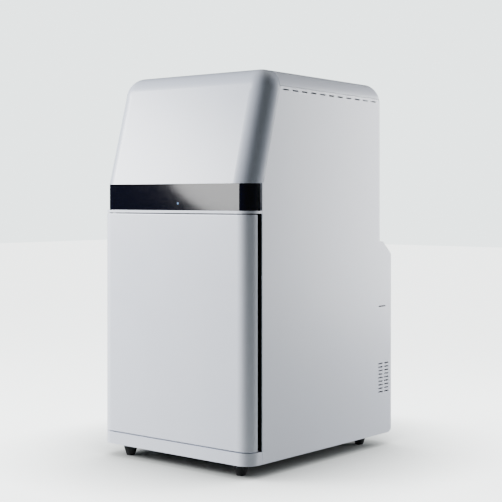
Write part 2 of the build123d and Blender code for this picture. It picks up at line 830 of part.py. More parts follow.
# Lift: two rods and a screw between end blocks, driven by a motor under the chamber floor
rod_radius = 8.0
rod_x = 110.0
end_block_width = 280.0
end_block_height = 24.0
end_block_front = 488.0
lift_top = 540.0
block_bottom = chamber_low + panel_wall
rod_embed = 20.0
motor_size = 56.0
motor_height = 50.0
motor_shaft = 4.0
shaft_reach = 10.0
shaft_socket = 12.0
screw_bottom = chamber_low + seam
rod_places = [(-rod_x, lift_y), (rod_x, lift_y)]
block_back = chamber_back - chamber_wall

with BuildPart() as lift_end_blocks:
    for low in (block_bottom, lift_top - end_block_height):
        with BuildSketch(Plane.XY.offset(low)):
            with Locations((0, front_y + (end_block_front + block_back) / 2)):
                Rectangle(end_block_width, block_back - end_block_front)
            with Locations(*rod_places):
                Circle(rod_radius, mode=Mode.SUBTRACT)
            with Locations((0, lift_y)):
                Circle(screw_rod_radius + running_gap, mode=Mode.SUBTRACT)
        extrude(amount=end_block_height)
lift_end_blocks.part.label = "lift_end_blocks"
export_step(lift_end_blocks.part, "parts/lift_end_blocks.step")

with BuildPart() as guide_rods:
    with BuildSketch(Plane.XY.offset(block_bottom)):
        with Locations(*rod_places):
            Circle(rod_radius)
    extrude(amount=lift_top - block_bottom)
    chamfer(guide_rods.edges().group_by(Axis.Z)[-1], seam)
guide_rods.part.label = "guide_rods"
export_step(guide_rods.part, "parts/guide_rods.step")

with BuildPart() as lead_screw:
    with BuildSketch(Plane.XY.offset(screw_bottom)):
        with Locations((0, lift_y)):
            Circle(screw_rod_radius)
    extrude(amount=lift_top - screw_bottom)
    with BuildSketch(Plane.XY.offset(screw_bottom)):
        with Locations((0, lift_y)):
            Circle(motor_shaft + running_gap)
    extrude(amount=shaft_socket, mode=Mode.SUBTRACT)
    chamfer(lead_screw.edges().group_by(Axis.Z)[-1], seam)
lead_screw.part.label = "lead_screw"
export_step(lead_screw.part, "parts/lead_screw.step")

motor_top = chamber_low - rest_gap

with BuildPart() as stage_motor:
    with BuildSketch(Plane.XY.offset(motor_top - motor_height)) as motor_plan:
        with Locations((0, lift_y)):
            Rectangle(motor_size, motor_size)
        chamfer(motor_plan.vertices(), 2 * motor_shaft)
    extrude(amount=motor_height)
    with BuildSketch(Plane.XY.offset(motor_top)):
        with Locations((0, lift_y)):
            Circle(motor_shaft)
    extrude(amount=shaft_reach)
stage_motor.part.label = "stage_motor"
export_step(stage_motor.part, "parts/stage_motor.step")

# Stage: carriage block on ball bushings, two tapered arms and the specimen plate
carriage_low = 128.0
carriage_height = 60.0
carriage_width = 280.0
carriage_back = 523.0
bushing_radius = 14.0
nut_radius = 11.0
nut_flange = 17.0
nut_flange_height = 6.0
arm_x = 110.0
arm_width = 8.0
arm_front = 120.0
arm_nose = 14.0
stage_width = 380.0
stage_front = 90.0
stage_length = 384.0
stage_thickness = 6.0
stage_corner = 12.0
mat_margin = 18.0
mat_thickness = 2.0

carriage_top = carriage_low + carriage_height
carriage_front_y = front_y + end_block_front

with BuildPart() as stage_carriage:
    with BuildSketch(Plane.XY.offset(carriage_low)):
        with Locations((0, front_y + (end_block_front + carriage_back) / 2)):
            Rectangle(carriage_width, carriage_back - end_block_front)
        with Locations(*rod_places):
            Circle(bushing_radius, mode=Mode.SUBTRACT)
        with Locations((0, lift_y)):
            Circle(nut_radius, mode=Mode.SUBTRACT)
    extrude(amount=carriage_height)
    for x in (-arm_x, arm_x):
        with BuildSketch(Plane.YZ.offset(x - arm_width / 2)):
            with BuildLine():
                Polyline(
                    (carriage_front_y, carriage_low),
                    (carriage_front_y, carriage_top),
                    (front_y + arm_front, carriage_top),
                    (front_y + arm_front, carriage_top - arm_nose),
                    close=True,
                )
            make_face()
        extrude(amount=arm_width)
stage_carriage.part.label = "stage_carriage"
export_step(stage_carriage.part, "parts/stage_carriage.step")

with BuildPart() as linear_bushings:
    with BuildSketch(Plane.XY.offset(carriage_low)):
        with Locations(*rod_places):
            Circle(bushing_radius)
            Circle(rod_radius + running_gap, mode=Mode.SUBTRACT)
    extrude(amount=carriage_height)
linear_bushings.part.label = "linear_bushings"
export_step(linear_bushings.part, "parts/linear_bushings.step")

with BuildPart() as lead_nut:
    with BuildSketch(Plane.XY.offset(carriage_low)):
        with Locations((0, lift_y)):
            Circle(nut_radius)
    extrude(amount=carriage_height)
    with BuildSketch(Plane.XY.offset(carriage_top)):
        with Locations((0, lift_y)):
            Circle(nut_flange)
    extrude(amount=nut_flange_height)
    with BuildSketch(Plane.XY.offset(carriage_low)):
        with Locations((0, lift_y)):
            Circle(screw_rod_radius + running_gap)
    extrude(amount=carriage_height + nut_flange_height, mode=Mode.SUBTRACT)
lead_nut.part.label = "lead_nut"
export_step(lead_nut.part, "parts/lead_nut.step")

stage_mid = front_y + stage_front + stage_length / 2

with BuildPart() as stage_plate:
    with BuildSketch(Plane.XY.offset(carriage_top)) as stage_plan:
        with Locations((0, stage_mid)):
            Rectangle(stage_width, stage_length)
        fillet(stage_plan.vertices(), stage_corner)
    extrude(amount=stage_thickness)
    with BuildSketch(Plane.XY.offset(carriage_top + stage_thickness)) as mat_seat:
        with Locations((0, stage_mid)):
            Rectangle(stage_width - 2 * mat_margin, stage_length - 2 * mat_margin)
        fillet(mat_seat.vertices(), stage_corner)
    extrude(amount=-mat_thickness, mode=Mode.SUBTRACT)
stage_plate.part.label = "stage_plate"
export_step(stage_plate.part, "parts/stage_plate.step")

with BuildPart() as stage_mat:
    with BuildSketch(Plane.XY.offset(carriage_top + stage_thickness - mat_thickness)) as mat_plan:
        with Locations((0, stage_mid)):
            Rectangle(stage_width - 2 * mat_margin - rest_gap, stage_length - 2 * mat_margin - rest_gap)
        fillet(mat_plan.vertices(), stage_corner)
    extrude(amount=mat_thickness + rest_gap)
stage_mat.part.label = "stage_mat"
export_step(stage_mat.part, "parts/stage_mat.step")

# Lamps: wedge-shaped bars along the upper corners of the chamber, each with a sloping diffuser
lamp_leg = 44.0
lamp_front = 110.0
lamp_length = 360.0
diffuser_width = 34.0
diffuser_thickness = 3.0
lamp_x = chamber_half - chamber_wall - rest_gap
lamp_z = chamber_high - panel_wall - rest_gap
lamp_centre = (lamp_x - lamp_leg / 2, lamp_z - lamp_leg / 2)

with BuildPart() as lamp_bars:
    for side in (-1, 1):
        with BuildSketch(Plane.XZ.offset(-front_y - lamp_front)):
            with BuildLine():
                Polyline(
                    (side * lamp_x, lamp_z),
                    (side * (lamp_x - lamp_leg), lamp_z),
                    (side * lamp_x, lamp_z - lamp_leg),
                    close=True,
                )
            make_face()
            with Locations((side * lamp_centre[0], lamp_centre[1])):
                Rectangle(diffuser_width, 2 * diffuser_thickness, rotation=-side * 45, mode=Mode.SUBTRACT)
        extrude(amount=-lamp_length)
lamp_bars.part.label = "lamp_bars"
export_step(lamp_bars.part, "parts/lamp_bars.step")

with BuildPart() as lamp_diffusers:
    for side in (-1, 1):
        with BuildSketch(Plane.XZ.offset(-front_y - lamp_front)):
            with BuildLine():
                Polyline(
                    (side * lamp_x, lamp_z),
                    (side * (lamp_x - lamp_leg), lamp_z),
                    (side * lamp_x, lamp_z - lamp_leg),
                    close=True,
                )
            make_face()
            with Locations((side * lamp_centre[0], lamp_centre[1])):
                Rectangle(diffuser_width, 2 * diffuser_thickness, rotation=-side * 45, mode=Mode.INTERSECT)
        extrude(amount=-lamp_length)
lamp_diffusers.part.label = "lamp_diffusers"
export_step(lamp_diffusers.part, "parts/lamp_diffusers.step")

# Filter wheel between lens and camera, in a flat two-part housing with its motor on the lid
wheel_radius = 104.0
wheel_pitch = 78.0
wheel_thickness = 6.0
filter_radius = 25.0
filter_count = 6
filter_thickness = 4.0
housing_low = 760.0
housing_wall = 4.0
housing_cavity = 16.0
housing_half = 112.0
light_port = 27.0
wheel_shaft = 4.0
drive_radius = 18.0
drive_height = 42.0

wheel_y = lens_y + wheel_pitch
cavity_low = housing_low + housing_wall
cavity_high = cavity_low + housing_cavity
housing_high = cavity_high + housing_wall
housing_front = lens_y - lens_port
housing_rear = wheel_y + housing_half
wheel_low = cavity_low + (housing_cavity - wheel_thickness) / 2

with BuildPart() as filter_housing:
    with BuildSketch(Plane.XY.offset(housing_low)) as housing_plan:
        with Locations((0, (housing_front + housing_rear) / 2)):
            Rectangle(2 * housing_half, housing_rear - housing_front)
        fillet(housing_plan.vertices(), lens_port / 2)
    extrude(amount=housing_high - housing_low)
    with BuildSketch(Plane.XY.offset(cavity_low)):
        with Locations((0, wheel_y)):
            Circle(wheel_radius + housing_wall / 2)
    extrude(amount=housing_high - cavity_low, mode=Mode.SUBTRACT)
    with BuildSketch(Plane.XY.offset(housing_low)):
        with Locations((0, lens_y)):
            Circle(light_port)
        with Locations((0, wheel_y)):
            Circle(wheel_shaft + running_gap)
    extrude(amount=housing_wall, mode=Mode.SUBTRACT)
filter_housing.part.label = "filter_housing"
export_step(filter_housing.part, "parts/filter_housing.step")

with BuildPart() as filter_lid:
    with BuildSketch(Plane.XY.offset(cavity_high)):
        with Locations((0, wheel_y)):
            Circle(wheel_radius + housing_wall / 2 - rest_gap)
        with Locations((0, lens_y)):
            Circle(light_port, mode=Mode.SUBTRACT)
        with Locations((0, wheel_y)):
            Circle(wheel_shaft + running_gap, mode=Mode.SUBTRACT)
    extrude(amount=housing_wall)
filter_lid.part.label = "filter_lid"
export_step(filter_lid.part, "parts/filter_lid.step")

with BuildPart() as filter_wheel:
    with BuildSketch(Plane.XY.offset(wheel_low)):
        with Locations((0, wheel_y)):
            Circle(wheel_radius)
            with PolarLocations(wheel_pitch, filter_count, start_angle=-90):
                Circle(filter_radius, mode=Mode.SUBTRACT)
    extrude(amount=wheel_thickness)
    with BuildSketch(Plane.XY.offset(housing_low)):
        with Locations((0, wheel_y)):
            Circle(wheel_shaft)
    extrude(amount=housing_high - housing_low)
filter_wheel.part.label = "filter_wheel"
export_step(filter_wheel.part, "parts/filter_wheel.step")

with BuildPart() as wheel_filters:
    with BuildSketch(Plane.XY.offset(wheel_low + seam)):
        with Locations((0, wheel_y)):
            with PolarLocations(wheel_pitch, filter_count, start_angle=-90):
                Circle(filter_radius)
    extrude(amount=filter_thickness)
wheel_filters.part.label = "wheel_filters"
export_step(wheel_filters.part, "parts/wheel_filters.step")

with BuildPart() as filter_motor:
    with BuildSketch(Plane.XY.offset(housing_high)):
        with Locations((0, wheel_y)):
            Circle(drive_radius)
    extrude(amount=drive_height)
    chamfer(filter_motor.edges().group_by(Axis.Z)[-1], seam)
filter_motor.part.label = "filter_motor"
export_step(filter_motor.part, "parts/filter_motor.step")

# Camera: finned cooled body above the filter lid, lens barrel below with a turning focus ring
camera_size = 100.0
camera_height = 88.0
camera_corner = 8.0
fin_height = 60.0
fin_thickness = 3.0
fin_count = 11
barrel_radius = 36.0
barrel_low = 645.0
barrel_wall = 4.0
barrel_flange = 46.0
barrel_flange_height = 6.0
ring_low = 712.0
ring_height = 30.0
ring_radius = 43.0
ring_groove = 1.5
ring_ribs = 24
glass_thickness = 4.0

with BuildPart() as camera_housing:
    with BuildSketch(Plane.XY.offset(housing_high)) as camera_plan:
        with Locations((0, lens_y)):
            Rectangle(camera_size, camera_size)
        fillet(camera_plan.vertices(), camera_corner)
    extrude(amount=camera_height)
    fin_pitch = (camera_size - 2 * camera_corner) / (fin_count - 1)
    with BuildSketch(Plane.XY.offset(housing_high + camera_height)):
        with Locations((0, lens_y)):
            with GridLocations(fin_pitch, 0, fin_count, 1):
                Rectangle(fin_thickness, camera_size - 2 * camera_corner)
    extrude(amount=fin_height)
camera_housing.part.label = "camera_housing"
export_step(camera_housing.part, "parts/camera_housing.step")

with BuildPart() as lens_barrel:
    with BuildSketch(Plane.XY.offset(barrel_low)):
        with Locations((0, lens_y)):
            Circle(barrel_radius)
    extrude(amount=housing_low - barrel_low)
    with BuildSketch(Plane.XY.offset(housing_low - barrel_flange_height)):
        with Locations((0, lens_y)):
            Circle(barrel_flange)
    extrude(amount=barrel_flange_height)
    with BuildSketch(Plane.XY.offset(ring_low)):
        with Locations((0, lens_y)):
            Circle(barrel_radius + barrel_wall)
            Circle(barrel_radius - barrel_wall, mode=Mode.SUBTRACT)
    extrude(amount=-barrel_wall)
    with BuildSketch(Plane.XY.offset(barrel_low)):
        with Locations((0, lens_y)):
            Circle(barrel_radius - barrel_wall)
    extrude(amount=housing_low - barrel_low, mode=Mode.SUBTRACT)
lens_barrel.part.label = "lens_barrel"
export_step(lens_barrel.part, "parts/lens_barrel.step")

with BuildPart() as focus_ring:
    with BuildSketch(Plane.XY.offset(ring_low + rest_gap)):
        with Locations((0, lens_y)):
            Circle(ring_radius)
            with PolarLocations(ring_radius, ring_ribs):
                Rectangle(2 * ring_groove, 2 * ring_groove, mode=Mode.SUBTRACT)
            Circle(barrel_radius + running_gap, mode=Mode.SUBTRACT)
    extrude(amount=ring_height)
focus_ring.part.label = "focus_ring"
export_step(focus_ring.part, "parts/focus_ring.step")

with BuildPart() as lens_glass:
    with BuildSketch(Plane.XY.offset(barrel_low + glass_thickness)):
        with Locations((0, lens_y)):
            Circle(barrel_radius - barrel_wall)
    extrude(amount=glass_thickness)
lens_glass.part.label = "lens_glass"
export_step(lens_glass.part, "parts/lens_glass.step")

# Camera stand: upright on the deck behind the filter housing, with a foot and two gussets
stand_half = 70.0
stand_thickness = 10.0
stand_top = 900.0
stand_foot = 50.0
stand_y = housing_rear + rest_gap

with BuildPart() as camera_stand:
    with BuildSketch(Plane.YZ.offset(-stand_half)):
        with BuildLine():
            Polyline(
                (stand_y, deck_top),
                (stand_y, stand_top),
                (stand_y + stand_thickness, stand_top),
                (stand_y + stand_thickness, deck_top + stand_thickness),
                (stand_y + stand_foot, deck_top + stand_thickness),
                (stand_y + stand_foot, deck_top),
                close=True,
            )
        make_face()
    extrude(amount=2 * stand_half)
    for x in (-stand_half, stand_half - stand_thickness):
        with BuildSketch(Plane.YZ.offset(x)):
            with BuildLine():
                Polyline(
                    (stand_y + stand_thickness, deck_top + stand_thickness),
                    (stand_y + stand_thickness, stand_top - stand_foot),
                    (stand_y + stand_foot, deck_top + stand_thickness),
                    close=True,
                )
            make_face()
        extrude(amount=stand_thickness)
    with BuildSketch(Plane.XZ.offset(-stand_y)):
        with Locations((0, (deck_top + stand_top) / 2)):
            SlotOverall(stand_half, stand_half / 2, rotation=90)
    extrude(amount=-stand_thickness, mode=Mode.SUBTRACT)
camera_stand.part.label = "camera_stand"
export_step(camera_stand.part, "parts/camera_stand.step")

# Fans behind the lower rear cover: square frames with a rear spider and free rotors
fan_back = cover_face_lower - panel_wall - rest_gap
fan_front = fan_back - fan_depth
fan_hub = 17.0
fan_corner = 5.0
spider_depth = 4.0
spider_arm = 5.0
blade_count = 7
blade_thickness = 2.0
blade_pitch_angle = 40.0
blade_clearance = 2.0
fan_shaft = 2.5
fan_places = [(-fan_spacing / 2, fan_z), (fan_spacing / 2, fan_z)]

with BuildPart() as fan_frames:
    with BuildSketch(Plane.XZ.offset(-fan_front)) as fan_face:
        with Locations(*fan_places):
            Rectangle(fan_size, fan_size)
        fillet(fan_face.vertices(), fan_corner)
        with Locations(*fan_places):
            Circle(fan_bore, mode=Mode.SUBTRACT)
    extrude(amount=-fan_depth)
    with BuildSketch(Plane.XZ.offset(-fan_back + spider_depth)):
        with Locations(*fan_places):
            Rectangle(2 * fan_bore + 2, spider_arm, rotation=45)
            Rectangle(2 * fan_bore + 2, spider_arm, rotation=-45)
            Circle(fan_hub)
            Circle(fan_shaft + running_gap, mode=Mode.SUBTRACT)
    extrude(amount=-spider_depth)
fan_frames.part.label = "fan_frames"
export_step(fan_frames.part, "parts/fan_frames.step")

rotor_depth = fan_depth - spider_depth - 2 * seam
blade_reach = fan_bore - blade_clearance
blade_chord = rotor_depth - 2 * blade_clearance

for x, rotor_name in ((-fan_spacing / 2, "fan_rotor_left"), (fan_spacing / 2, "fan_rotor_right")):
    with BuildPart() as fan_rotor:
        with BuildSketch(Plane.XZ.offset(-fan_front - seam)):
            with Locations((x, fan_z)):
                Circle(fan_hub)
        extrude(amount=-rotor_depth)
        with BuildSketch(Plane.XZ.offset(-fan_front - seam)):
            with Locations((x, fan_z)):
                Circle(fan_shaft)
        extrude(amount=-(fan_depth - 2 * seam))
        for blade in range(blade_count):
            turn = radians(blade * 360 / blade_count)
            pitch = radians(blade_pitch_angle)
            blade_plane = Plane(
                origin=(x, fan_front + seam + rotor_depth / 2, fan_z),
                x_dir=(cos(turn), 0, sin(turn)),
                z_dir=(-sin(turn) * cos(pitch), -sin(pitch), cos(turn) * cos(pitch)),
            )
            with BuildSketch(blade_plane.offset(-blade_thickness / 2)):
                with Locations(((fan_hub + blade_reach) / 2 - 1, 0)):
                    Rectangle(blade_reach - fan_hub, blade_chord)
            extrude(amount=blade_thickness)
    fan_rotor.part.label = rotor_name
    export_step(fan_rotor.part, f"parts/{rotor_name}.step")

# Mains inlet with its rocker switch, and the plate with the data sockets
flange_lip = 4.0
flange_depth = 2.0
socket_width = 24.0
socket_height = 16.0
socket_depth = 16.0
module_depth = 24.0
socket_drop = 14.0
contact_width = 2.0
contact_height = 6.0
contact_length = 8.0
contact_spacing = 7.0
contact_offset = 2.0
rocker_rise = 18.0
rocker_width = 13.0
rocker_height = 19.0
rocker_depth = 10.0
rocker_play = 1.5
rocker_swell = 2.0
pivot_radius = 1.5
pivot_reach = 2.0

module_front = cover_face_lower
switch_z = inlet_z + rocker_rise
pivot_y = module_front - rocker_depth / 2
rocker_half = rocker_height / 2 - rocker_play
socket_z = inlet_z - socket_drop

with BuildPart() as power_inlet:
    with BuildSketch(Plane.XZ.offset(-module_front)) as inlet_flange:
        with Locations((inlet_x, inlet_z)):
            Rectangle(inlet_width + 2 * flange_lip, inlet_height + 2 * flange_lip)
        fillet(inlet_flange.vertices(), flange_lip)
    extrude(amount=-flange_depth)
    with BuildSketch(Plane.XZ.offset(-module_front)):
        with Locations((inlet_x, inlet_z)):
            Rectangle(inlet_width - 2 * rest_gap, inlet_height - 2 * rest_gap)
    extrude(amount=module_depth)
    with BuildSketch(Plane.XZ.offset(-module_front - flange_depth)) as inlet_cavity:
        with Locations((inlet_x, socket_z)):
            Rectangle(socket_width, socket_height)
        chamfer(inlet_cavity.vertices().group_by(Axis.Y)[-1], flange_lip)
    extrude(amount=socket_depth, mode=Mode.SUBTRACT)
    with BuildSketch(Plane.XZ.offset(-module_front - flange_depth)):
        with Locations((inlet_x, switch_z)):
            Rectangle(rocker_width + 2 * rest_gap, rocker_height + 2 * rest_gap)
    extrude(amount=socket_depth, mode=Mode.SUBTRACT)
    with BuildSketch(Plane.YZ.offset(inlet_x - rocker_width / 2 - pivot_reach - rest_gap)):
        with Locations((pivot_y, switch_z)):
            Circle(pivot_radius + running_gap)
    extrude(amount=rocker_width + 2 * pivot_reach + 2 * rest_gap, mode=Mode.SUBTRACT)
    with BuildSketch(Plane.XZ.offset(-module_front - flange_depth + socket_depth)):
        with Locations(
            (inlet_x - contact_spacing, socket_z - contact_offset),
            (inlet_x + contact_spacing, socket_z - contact_offset),
            (inlet_x, socket_z + contact_offset),
        ):
            Rectangle(contact_width, contact_height)
    extrude(amount=-contact_length)
power_inlet.part.label = "power_inlet"
export_step(power_inlet.part, "parts/power_inlet.step")


with BuildPart() as power_switch:
    with BuildSketch(Plane.YZ.offset(inlet_x - rocker_width / 2)):
        with BuildLine():
            Polyline(
                (pivot_y - 2 * pivot_radius, switch_z),
                (pivot_y, switch_z - rocker_half),
                (module_front + rocker_swell, switch_z - rocker_half),
                (module_front, switch_z),
                (module_front, switch_z + rocker_half),
                (pivot_y, switch_z + rocker_half),
                close=True,
            )
        make_face()
    extrude(amount=rocker_width)
    with BuildSketch(Plane.YZ.offset(inlet_x - rocker_width / 2 - pivot_reach)):
        with Locations((pivot_y, switch_z)):
            Circle(pivot_radius)
    extrude(amount=rocker_width + 2 * pivot_reach)
power_switch.part.label = "power_switch"
export_step(power_switch.part, "parts/power_switch.step")

port_module = 18.0
usb_width = 13.0
usb_height = 6.0
lan_width = 16.0
lan_height = 13.0
port_pitch = 26.0
port_depth = 14.0

with BuildPart() as data_ports:
    with BuildSketch(Plane.XZ.offset(-module_front)) as port_flange:
        with Locations((port_x, inlet_z)):
            Rectangle(port_width + 2 * flange_lip, port_height + 2 * flange_lip)
        fillet(port_flange.vertices(), flange_lip)
    extrude(amount=-flange_depth)
    with BuildSketch(Plane.XZ.offset(-module_front)):
        with Locations((port_x, inlet_z)):
            Rectangle(port_width - 2 * rest_gap, port_height - 2 * rest_gap)
    extrude(amount=port_module)
    with BuildSketch(Plane.XZ.offset(-module_front - flange_depth)):
        with Locations((port_x - port_pitch, inlet_z), (port_x, inlet_z)):
            Rectangle(usb_width, usb_height)
        with Locations((port_x + port_pitch, inlet_z)):
            Rectangle(lan_width, lan_height)
    extrude(amount=port_depth, mode=Mode.SUBTRACT)
data_ports.part.label = "data_ports"
export_step(data_ports.part, "parts/data_ports.step")

# Electronics: power supply on the tray behind the chamber, controller board on the deck
supply_x = -100.0
supply_width = 200.0
supply_depth = 86.0
supply_height = 64.0
supply_y = front_y + 590.0
board_x = -190.0
board_y = front_y + 440.0
board_width = 120.0
board_length = 180.0
board_thickness = 1.6
standoff_height = 8.0
standoff_radius = 3.0
standoff_inset = 8.0
chip_size = 22.0
chip_height = 3.0
header_width = 8.0
header_height = 10.0

with BuildPart() as power_supply:
    with BuildSketch(Plane.XY.offset(tray_floor)):
        with Locations((supply_x, supply_y)):
            Rectangle(supply_width, supply_depth)
    extrude(amount=supply_height)
    chamfer(power_supply.edges().filter_by(Axis.Z), edge_radius)
    with BuildSketch(Plane.XY.offset(tray_floor + supply_height)):
        with Locations((supply_x, supply_y)):
            with GridLocations(2 * standoff_radius, supply_depth / 2, 20, 2):
                Rectangle(standoff_radius, supply_depth / 3)
    extrude(amount=-edge_radius, mode=Mode.SUBTRACT)
power_supply.part.label = "power_supply"
export_step(power_supply.part, "parts/power_supply.step")

board_low = deck_top + standoff_height

with BuildPart() as controller_board:
    with BuildSketch(Plane.XY.offset(board_low)):
        with Locations((board_x, board_y)):
            Rectangle(board_width, board_length)
    extrude(amount=board_thickness)
    with BuildSketch(Plane.XY.offset(deck_top)):
        with Locations((board_x, board_y)):
            with GridLocations(board_width - 2 * standoff_inset, board_length - 2 * standoff_inset, 2, 2):
                Circle(standoff_radius)
    extrude(amount=standoff_height)
    with BuildSketch(Plane.XY.offset(board_low + board_thickness)):
        with Locations((board_x, board_y)):
            with GridLocations(2 * chip_size, 2 * chip_size, 2, 2):
                Rectangle(chip_size, chip_size)
    extrude(amount=chip_height)
    with BuildSketch(Plane.XY.offset(board_low + board_thickness)):
        with Locations((board_x - board_width / 2 + header_width, board_y)):
            Rectangle(header_width, board_length / 2)
    extrude(amount=header_height)
controller_board.part.label = "controller_board"
export_step(controller_board.part, "parts/controller_board.step")
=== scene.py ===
import math

import bpy
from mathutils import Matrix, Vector

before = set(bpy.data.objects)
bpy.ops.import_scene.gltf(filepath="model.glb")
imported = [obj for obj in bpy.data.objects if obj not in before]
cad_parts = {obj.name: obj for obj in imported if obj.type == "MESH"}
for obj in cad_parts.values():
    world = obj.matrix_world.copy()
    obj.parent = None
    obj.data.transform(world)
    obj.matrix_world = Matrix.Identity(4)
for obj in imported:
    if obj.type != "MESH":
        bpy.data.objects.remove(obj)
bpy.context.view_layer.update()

# Side panels, top cover, rear covers, plinth and sill.
# Folded and rolled sheet steel, welded and dressed smooth at the corners, then powder coated in
# a cool white. The coat is satin, with the faint orange peel that powder leaves as it melts.


def linear(code, alpha=1.0):
    """Turns an sRGB hex colour into the linear values that the renderer takes."""
    channels = [int(code[i:i + 2], 16) / 255 for i in (1, 3, 5)]
    return [c / 12.92 if c <= 0.04045 else ((c + 0.055) / 1.055) ** 2.4 for c in channels] + [alpha]


def node(material, kind, settings=None, links=None):
    """Adds one node with its settings and the sockets that feed it."""
    made = material.node_tree.nodes.new(kind)
    for key, value in (settings or {}).items():
        if isinstance(key, str) and hasattr(made, key):
            setattr(made, key, value)
        else:
            made.inputs[key].default_value = value
    for key, source in (links or {}).items():
        material.node_tree.links.new(source, made.inputs[key])
    return made


def finish(name, colour, **settings):
    """Starts a material: its shader with plain settings, and the object's own coordinates."""
    material = bpy.data.materials.new(name)
    material.use_nodes = True
    shader = material.node_tree.nodes["Principled BSDF"]
    shader.inputs["Base Color"].default_value = linear(colour)
    for key, value in settings.items():
        shader.inputs[key.replace("_", " ")].default_value = value
    place = node(material, "ShaderNodeTexCoord").outputs["Object"]
    return material, shader, place


def tint(material, shader, amount, low, high):
    """Lets a pattern run the base colour between two near shades."""
    ramp = node(material, "ShaderNodeValToRGB", links={"Fac": amount})
    ramp.color_ramp.elements[0].color = linear(low)
    ramp.color_ramp.elements[1].color = linear(high)
    material.node_tree.links.new(ramp.outputs["Color"], shader.inputs["Base Color"])
    return ramp


def relief(material, shader, height, depth, strength=1.0):
    """Raises the surface by a pattern, depth in metres."""
    bump = node(material, "ShaderNodeBump", {"Distance": depth, "Strength": strength}, {"Height": height})
    material.node_tree.links.new(bump.outputs["Normal"], shader.inputs["Normal"])


def paint(material, *names):
    """Gives a finish to frame nodes whose shape is right as it stands."""
    for name in names:
        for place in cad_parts[name].material_slots:
            place.material = material


cabinet_coat, shader, place = finish("powder coat, cool white", "#dde2ef", Roughness=0.42)
shader.inputs["Coat Weight"].default_value = 0.12
shader.inputs["Coat Roughness"].default_value = 0.3
orange_peel = node(
    cabinet_coat, "ShaderNodeTexNoise", {"Scale": 1 / 0.0022, "Detail": 2.0}, {"Vector": place},
)
pooling = node(cabinet_coat, "ShaderNodeTexNoise", {"Scale": 1 / 0.18, "Detail": 3.0}, {"Vector": place})
tint(cabinet_coat, shader, pooling.outputs["Fac"], "#dadfec", "#e0e5f1")
relief(cabinet_coat, shader, orange_peel.outputs["Fac"], 0.00004)
paint(
    cabinet_coat,
    "side_panel_left", "side_panel_right", "top_cover", "front_plinth", "band_sill",
    "rear_upper_cover", "rear_lower_cover",
)

# Door skin.
# One sheet bent round both front corners, in the same powder coat, rubbed a little smoother
# where hands push it shut.

door_coat, shader, place = finish("powder coat, door", "#dee3f0", Roughness=0.36)
shader.inputs["Coat Weight"].default_value = 0.2
shader.inputs["Coat Roughness"].default_value = 0.2
orange_peel = node(door_coat, "ShaderNodeTexNoise", {"Scale": 1 / 0.0022, "Detail": 2.0}, {"Vector": place})
handling = node(door_coat, "ShaderNodeTexNoise", {"Scale": 1 / 0.12, "Detail": 4.0}, {"Vector": place})
tint(door_coat, shader, handling.outputs["Fac"], "#dce1ee", "#e2e7f3")
wear = node(
    door_coat, "ShaderNodeMapRange",
    {"To Min": 0.32, "To Max": 0.42}, {"Value": handling.outputs["Fac"]},
)
door_coat.node_tree.links.new(wear.outputs["Result"], shader.inputs["Roughness"])
relief(door_coat, shader, orange_peel.outputs["Fac"], 0.00004)
paint(door_coat, "door_skin")

# Hood.
# A large moulding with one blended edge all round, filled, sanded and sprayed to match the
# cabinet. Its coat is set a shade greyer than the powder on the panels as painted shade for its leaning
# face, and it is smoother.

# The hood's base colour and tint are greyer than the panels' as painted shade for its backward-leaning face.
hood_coat_with_painted_shade, shader, place = finish("sprayed moulding, grey with painted shade", "#c3cad9", Roughness=0.38)
shader.inputs["Coat Weight"].default_value = 0.2
shader.inputs["Coat Roughness"].default_value = 0.25
spray = node(hood_coat_with_painted_shade, "ShaderNodeTexNoise", {"Scale": 1 / 0.0015, "Detail": 1.0}, {"Vector": place})
shade = node(hood_coat_with_painted_shade, "ShaderNodeTexNoise", {"Scale": 1 / 0.25, "Detail": 2.0}, {"Vector": place})
tint(hood_coat_with_painted_shade, shader, shade.outputs["Fac"], "#c0c7d6", "#c6cddc")
relief(hood_coat_with_painted_shade, shader, spray.outputs["Fac"], 0.00003)
paint(hood_coat_with_painted_shade, "hood")

# Window band.
# A smoked acrylic pane heat-bent round both corners, so dark that only its gloss shows.
# Behind it stands a moulded black carrier. The light pipe's glow is painted into the pane's own finish as an
# emitting spot, since the pane lets no light through. Fans, inlet, rocker and magnets are of the same black.

smoked, shader, place = finish("smoked acrylic", "#020310", Roughness=0.06, IOR=1.6)
ripple = node(smoked, "ShaderNodeTexNoise", {"Scale": 1 / 0.09, "Detail": 1.0}, {"Vector": place})
relief(smoked, shader, ripple.outputs["Fac"], 0.0001)
wipe = node(smoked, "ShaderNodeTexNoise", {"Scale": 1 / 0.02, "Detail": 5.0}, {"Vector": place})
smear = node(smoked, "ShaderNodeMapRange", {"To Min": 0.05, "To Max": 0.1}, {"Value": wipe.outputs["Fac"]})
smoked.node_tree.links.new(smear.outputs["Result"], shader.inputs["Roughness"])
# Painted glow: the pane itself emits pale blue in a small round spot where the light pipe stands behind it.
light_place = (0.0176, 0.0, 0.731)
painted_glow_radius = 0.003
painted_glow_blur = 0.0008
from_light = node(smoked, "ShaderNodeVectorMath", {"operation": "SUBTRACT", 1: light_place}, {0: place})
across = node(
    smoked, "ShaderNodeVectorMath", {"operation": "MULTIPLY", 1: (1.0, 0.0, 1.0)},
    {0: from_light.outputs["Vector"]},
)
away = node(smoked, "ShaderNodeVectorMath", {"operation": "LENGTH"}, {0: across.outputs["Vector"]})
painted_glow_mask = node(
    smoked, "ShaderNodeMapRange",
    {"From Min": painted_glow_radius + painted_glow_blur, "From Max": painted_glow_radius - painted_glow_blur},
    {"Value": away.outputs["Value"]},
)
painted_glow = node(smoked, "ShaderNodeValToRGB", links={"Fac": painted_glow_mask.outputs["Result"]})
painted_glow.color_ramp.elements[0].color = linear("#000000")
painted_glow.color_ramp.elements[1].color = linear("#9cc4f4")
smoked.node_tree.links.new(painted_glow.outputs["Color"], shader.inputs["Emission Color"])
shader.inputs["Emission Strength"].default_value = 1.0
paint(smoked, "band_glass")

